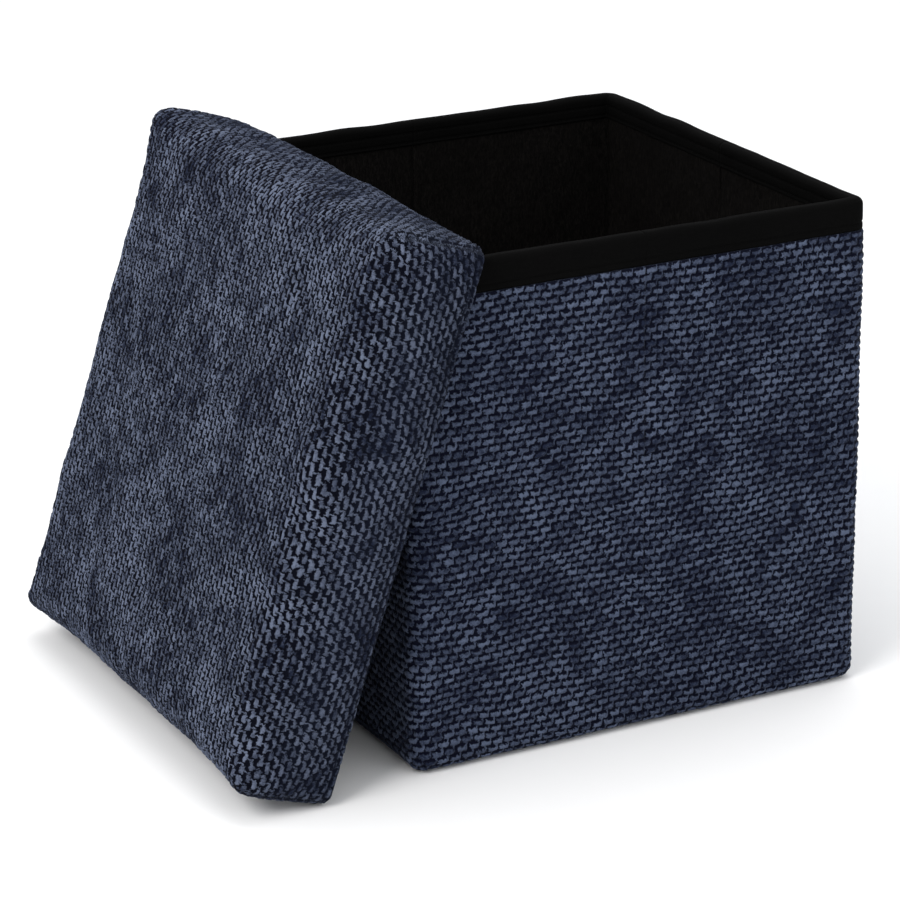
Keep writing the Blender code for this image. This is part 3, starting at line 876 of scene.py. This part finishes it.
def buildSlab(name, lowCorner, highCorner, step, wave, seed, material, slotName, body, held, upwards=True):
    # a soft flat panel with rounded edges and a gently uneven face
    (x0, y0, z0), (x1, y1, z1) = lowCorner, highCorner
    xx, yy = np.meshgrid(slabLine(x0, x1, step), slabLine(y0, y1, step), indexing="ij")
    edge = np.minimum.reduce([xx - x0, x1 - xx, yy - y0, y1 - yy])
    drop = 0.4 * mm * (1 - np.clip(edge / (1.5 * mm), 0, 1) ** 0.5)
    bumpy = wave * (softNoise(xx, yy, 80 * mm, seed) + 0.3 * softNoise(xx, yy, 20 * mm, seed + 1) - 1.2)
    face = (z1 if upwards else z0) + (1 if upwards else -1) * (bumpy * np.clip(edge / (6 * mm), 0, 1) - drop)
    grid = np.stack([xx, yy, face], 2)
    n, m = grid.shape[:2]
    faces = gridFaces(n, m).tolist()
    smoothCount = len(faces)
    rim = gridRim(n, m)
    under = grid.reshape(-1, 3)[rim].copy()
    under[:, 2] = z0 if upwards else z1
    start = n * m
    for k in range(len(rim)):
        nextK = (k + 1) % len(rim)
        faces.append([rim[k], start + k, start + nextK, rim[nextK]])
    faces.append([start + k for k in range(len(rim))][::-1])
    piece = faceOut(makeMesh(name, np.concatenate([grid.reshape(-1, 3), under]), faces, smoothCount))
    dress(piece, material)
    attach(piece, body)
    return piece


buildBase()
floorCorners = ((floorLow[0] + 0.6 * mm, floorLow[1] + 0.3 * mm, floorLow[2] + 0.1 * mm),
                (floorHigh[0] - 0.6 * mm, floorHigh[1] - 0.6 * mm, floorHigh[2]))
floorPiece = buildSlab("floorLining", *floorCorners, 7 * mm, 0.12 * mm, 61, liningCloth, "black_lining",
                       "base", "laid")
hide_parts("base_lining")
underCorners = ((-box["halfWidth"] + 17 * mm, trayLow[1] + 6 * mm, 0.9 * mm),
                (box["halfWidth"] - 17 * mm, box["halfDepth"] - 17 * mm, 3.1 * mm))
buildSlab("underPanel", *underCorners, 9 * mm, 0.12 * mm, 65, liningCloth, "black_lining",
          "base", "stretched", upwards=False)
print("base covered")


# lid: a padded cover with a turned hem, leaning on the box

lidNode = frame["nodes"]["lid_board"]
widest = max(lidNode.data.polygons, key=lambda face: face.area)
lidNormal = (lidNode.matrix_world.to_3x3() @ widest.normal).normalized()
if lidNormal.x > 0:
    lidNormal = -lidNormal
lidUp = Vector((lidNormal.z, 0, -lidNormal.x))
lidTurn = np.array([list(lidUp), [0, 1, 0], list(lidNormal)])


def lidSpan(node):
    corners = [list(frame["nodes"][node].matrix_world @ v.co) for v in frame["nodes"][node].data.vertices]
    local = np.array(corners) @ lidTurn.T
    return local.min(0), local.max(0)


coverLow, coverHigh = lidSpan("lid_cover")
lidBoardLow, lidBoardHigh = lidSpan("lid_board")
lidMiddle = (coverLow + coverHigh) / 2

lid = {
    "half": (coverHigh[0] - coverLow[0]) / 2,
    "height": coverHigh[2] - coverLow[2] + 5 * mm,
    "cornerRadius": 11 * mm,
    "edgeRadius": 27 * mm,
    "edgeAtCorner": 13 * mm,
    "crown": 6.5 * mm,
    "bulge": 6.0 * mm,
    "hemRadius": 3 * mm,
    "hemWidth": 8.7 * mm,
    "seam": 5.5 * mm,
    "across": 1.33 * mm,
    "along": 2.0 * mm,
    "liningWave": 0.35 * mm,
    "liningStep": 5 * mm,
}


def roundedRing(size, radius, share):
    # tangential and normal place on one side of a rounded square, share from -1 to 1
    straight = size - radius
    length = straight + radius * math.pi / 4
    at = np.abs(share) * length
    angle = np.clip((at - straight) / np.maximum(radius, 1e-9), 0, math.pi / 4)
    tangent = np.where(at <= straight, at, straight + radius * np.sin(angle))
    normal = np.where(at <= straight, size, straight + radius * np.cos(angle))
    return tangent * np.sign(share), normal, at * np.sign(share)


def lidShape(a, b, profile):
    # a and b run over the unfolded cover from -1 to 1; profile gives size, radius, height, run
    reach = np.maximum(np.abs(a), np.abs(b))
    alongX = np.abs(a) >= np.abs(b)
    share = np.clip(np.where(alongX, b, a) / np.maximum(reach, 1e-9), -1, 1)
    size, radius, height, q = profile(reach, share)
    tangent, normal, run = roundedRing(size, radius, share)
    sign = np.sign(np.where(alongX, a, b))
    x = np.where(alongX, sign * normal, tangent)
    y = np.where(alongX, tangent, sign * normal)
    return x, y, height, np.where(alongX, sign * q, run), np.where(alongX, run, sign * q)


def gridNormals(points):
    alongA = np.gradient(points, axis=0)
    alongB = np.gradient(points, axis=1)
    normal = np.cross(alongA, alongB)
    return normal / np.maximum(np.linalg.norm(normal, axis=2, keepdims=True), 1e-12)


def closedDome(name, grid, backRings):
    # a grid closed underneath by rings that follow its rim, then one flat face
    n, m = grid.shape[:2]
    faces = gridFaces(n, m).tolist()
    smoothCount = len(faces)
    rim = gridRim(n, m)
    count = len(rim)
    flat = grid.reshape(-1, 3)
    edge = flat[rim]
    points = [flat]
    last = list(rim)
    start = n * m
    for size, radius, height in backRings:
        ring = ringFrom(edge, size, radius, height)
        points.append(ring)
        current = [start + k for k in range(count)]
        for k in range(count):
            nextK = (k + 1) % count
            faces.append([last[k], current[k], current[nextK], last[nextK]])
        last, start = current, start + count
    faces.append(last[::-1])
    return faceOut(makeMesh(name, np.concatenate(points), faces, smoothCount))


def ringFrom(edge, size, radius, height):
    # the same ring drawn in to another size, corner by corner
    x, y = edge[:, 0], edge[:, 1]
    reach = np.maximum(np.abs(x), np.abs(y))
    alongX = np.abs(x) >= np.abs(y)
    share = np.where(alongX, y, x) / reach
    tangent, normal, _ = roundedRing(size, radius, share)
    rx = np.where(alongX, np.sign(x) * normal, tangent)
    ry = np.where(alongX, tangent, np.sign(y) * normal)
    return np.stack([rx, ry, np.full_like(rx, height)], 1)


def lidToWorld(points):
    shifted = points + np.array([lidMiddle[0], lidMiddle[1], coverLow[2]])
    return shifted @ lidTurn


def layOnLid(piece, material):
    # from the lid's own axes to where the lid leans
    place = np.zeros(len(piece.data.vertices) * 3)
    piece.data.vertices.foreach_get("co", place)
    piece.data.vertices.foreach_set("co", lidToWorld(place.reshape(-1, 3)).ravel())
    piece.data.update()
    dress(piece, material)
    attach(piece, "lid")


def coverProfile(reach, share):
    # across the top, over a soft edge that tightens at the corners, down the side, under the hem
    half, height, hem = lid["half"], lid["height"], lid["hemRadius"]
    edge = lid["edgeRadius"] - (lid["edgeRadius"] - lid["edgeAtCorner"]) * np.abs(share) ** 5
    flat = half - edge
    arc = edge * math.pi / 2
    side = height - edge - hem
    turn = hem * math.pi / 2
    under = lid["hemWidth"] - hem
    q = reach * (flat + arc + side + turn + under)
    angle = np.clip((q - flat) / arc, 0, 1) * math.pi / 2
    down = np.clip(q - flat - arc, 0, side)
    hemAngle = np.clip((q - flat - arc - side) / turn, 0, 1) * math.pi / 2
    inward = np.clip(q - flat - arc - side - turn, 0, under)
    tucked = hem * (1 - np.cos(hemAngle)) + inward
    size = np.minimum(q, flat) + edge * np.sin(angle) - tucked
    size = size + lid["bulge"] * np.sin(math.pi * np.clip(down / side, 0, 1)) * (1 - share ** 4)
    high = height - edge * (1 - np.cos(angle)) - down - hem * np.sin(hemAngle)
    radius = lid["cornerRadius"] * np.sin(angle) - tucked
    return size, np.maximum(radius, 0.05 * mm) * (q > flat), high, q


def buildLidCover():
    unfolded = lid["half"] + lid["height"]
    columns, rows = round(2 * unfolded / lid["along"]), round(2 * unfolded / lid["across"])
    a, b = np.meshgrid(np.linspace(-1, 1, columns), np.linspace(-1, 1, rows), indexing="ij")
    x, y, height, u, v = lidShape(a, b, coverProfile)
    inside = np.clip(1 - (x / lid["half"]) ** 2, 0, 1) * np.clip(1 - (y / lid["half"]) ** 2, 0, 1)
    topShare = np.clip((height - 0.6 * lid["height"]) / (0.4 * lid["height"]), 0, 1)
    crown = lid["crown"] * inside ** 0.45 * topShare
    points = np.stack([x, y, height + crown], 2)
    normal = gridNormals(points)
    normal = normal * np.sign(normal[columns // 2, rows // 2, 2])
    soft = softNoise(x, y, 95 * mm, 71) * 0.7 * mm + softNoise(u, v, 38 * mm, 73) * 0.35 * mm
    u, v = driftCloth(u, v, lidWeave, 81)
    raised = weaveHeight(u, v, lidWeave)
    hemHeight = np.clip(height / (3 * mm), 0, 1)
    seam = np.exp(-((height - lid["seam"]) / (0.9 * mm)) ** 2)
    proud = lidWeave["relief"] * (raised - 0.45) * (0.25 + 0.75 * hemHeight)
    proud = proud + soft * hemHeight - 0.9 * mm * seam
    grid = points + normal * proud[:, :, None]
    hemWidth = lid["hemWidth"]
    inner = lid["half"] - 3.1 * mm
    plane = lidBoardHigh[2] - coverLow[2] + 0.15 * mm
    rings = [(lid["half"] - hemWidth, lid["cornerRadius"] - hemWidth, 2.2 * mm),
             (inner, lid["cornerRadius"] - 3.1 * mm, 2.2 * mm),
             (inner, lid["cornerRadius"] - 3.1 * mm, plane)]
    piece = closedDome("lidCushion", grid, rings)
    # painted shade: 0 on the top of the cushion, rising to 1 down its sides
    paintedShadeMask = np.clip((0.85 * lid["height"] - height) / (0.35 * lid["height"]), 0, 1)
    setCloth(piece, u, v, 1 - 0.9 * seam)
    setValues(piece, "paintedSkirtShade", paintedShadeMask)  # painted shade: the sides come out darker towards the bottom, as if lit only from above
    layOnLid(piece, lidCloth)
    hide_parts("lid_cover", "lid_pad")


def buildLidLining():
    depth = lidBoardLow[2] - coverLow[2] - 1.5 * mm
    inner = lid["half"] - 10 * mm
    low = 1.0 * mm
    side = depth - low
    total = inner + side
    cornerRadius = lid["cornerRadius"] - 9 * mm

    def profile(reach, share):
        q = reach * total
        down = np.clip(q - inner, 0, side)
        near = np.clip((q - inner + 6 * mm) / (6 * mm), 0, 1)
        radius = np.maximum(cornerRadius * near, 0.05 * mm) * (q > 0)
        return np.minimum(q, inner), radius, depth - down, q

    count = round(2 * total / lid["liningStep"])
    a, b = np.meshgrid(np.linspace(-1, 1, count), np.linspace(-1, 1, count), indexing="ij")
    x, y, height, _, _ = lidShape(a, b, profile)
    points = np.stack([x, y, height], 2)
    normal = gridNormals(points)
    normal = -normal * np.sign(normal[count // 2, count // 2, 2])
    wave = softNoise(x + 0.3 * height, y, 75 * mm, 91) + 0.3 * softNoise(x, y + height, 20 * mm, 93)
    proud = lid["liningWave"] * (wave - 0.8) * (height > 2 * mm)
    grid = points + normal * proud[:, :, None]
    rings = [(inner + 1.15 * mm, cornerRadius + 1.1 * mm, z) for z in (low, depth + 1.15 * mm)]
    piece = closedDome("lidLining", grid, rings)
    layOnLid(piece, liningCloth)
    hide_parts("lid_lining")


buildLidCover()
buildLidLining()
print("lid made")


# finishes of the CAD boards that stay

for name, node in frame["nodes"].items():
    if not node.hide_render:
        node.data.materials.clear()
        node.data.materials.append(fibreBoard)


# floor, light and camera

stageSet = {"floorHalf": 6.0, "floorHeight": -1.2 * mm, "floorTone": (0.93, 0.93, 0.93),
            "worldTone": (0.97, 0.98, 1.0), "worldPower": 0.9}
lightSet = {
    "keyLight": {"place": (-2.2, -1.0, 2.3), "target": (0, 0, 0.25), "size": (1.4, 1.4), "power": 52,
                 "tone": (1.0, 0.98, 0.96)},
    "frontLight": {"place": (0.8, -3.2, 2.0), "target": (0, 0, 0.2), "size": (2.5, 1.8), "power": 14,
                   "tone": (0.95, 0.97, 1.0)},
    "topLight": {"place": (0.3, 0.6, 3.2), "target": (0, 0, 0.2), "size": (2.5, 2.5), "power": 30,
                 "tone": (1.0, 1.0, 1.0)},
}
cameraSet = {"place": (-1.143, -2.120, 1.006), "yaw": 27.134, "pitch": 19.641, "roll": -0.702, "lens": 143.77}


def buildStage():
    half = stageSet["floorHalf"]
    corners = [(x * half, y * half, stageSet["floorHeight"]) for x, y in ((-1, -1), (1, -1), (1, 1), (-1, 1))]
    floor = makeMesh("studioFloor", corners, [[0, 1, 2, 3]])
    material, tree, shader = startMaterial("studioPaper")
    grain = noiseNode(tree, addNode(tree, "TexCoord").outputs["Object"], 40.0, 2.0)
    low = tuple(0.985 * c for c in stageSet["floorTone"])
    colour = mixColour(tree, grain, low, stageSet["floorTone"])
    tree.links.new(colour, shader.inputs["Base Color"])
    shader.inputs["Roughness"].default_value = 0.9
    floor.data.materials.append(material)
    world = bpy.data.worlds.new("studioWorld")
    world.use_nodes = True
    background = world.node_tree.nodes["Background"]
    background.inputs["Color"].default_value = (*stageSet["worldTone"], 1)
    background.inputs["Strength"].default_value = stageSet["worldPower"]
    bpy.context.scene.world = world


def addLight(name, look):
    light = bpy.data.lights.new(name, "AREA")
    light.shape = "RECTANGLE"
    light.size, light.size_y = look["size"]
    light.energy = look["power"]
    light.color = look["tone"]
    lamp = bpy.data.objects.new(name, light)
    bpy.context.scene.collection.objects.link(lamp)
    lamp.location = look["place"]
    aim = Vector(look["target"]) - Vector(look["place"])
    lamp.rotation_euler = aim.to_track_quat("-Z", "Y").to_euler()


def addCamera():
    yaw, pitch, roll = (math.radians(cameraSet[key]) for key in ("yaw", "pitch", "roll"))
    forward = Vector((math.sin(yaw) * math.cos(pitch), math.cos(yaw) * math.cos(pitch), -math.sin(pitch)))
    right = Vector((math.cos(yaw), -math.sin(yaw), 0))
    up = right.cross(forward)
    rolledRight = math.cos(roll) * right + math.sin(roll) * up
    rolledUp = math.cos(roll) * up - math.sin(roll) * right
    camera = bpy.data.cameras.new("studioCamera")
    camera.lens = cameraSet["lens"]
    camera.sensor_width = 36
    holder = bpy.data.objects.new("studioCamera", camera)
    bpy.context.scene.collection.objects.link(holder)
    turn = Matrix((rolledRight, rolledUp, -forward)).transposed().to_4x4()
    holder.matrix_world = Matrix.Translation(Vector(cameraSet["place"])) @ turn
    bpy.context.scene.camera = holder


buildStage()
for name, look in lightSet.items():
    addLight(name, look)
addCamera()
bpy.context.scene.view_settings.view_transform = "Standard"
print("stage set")
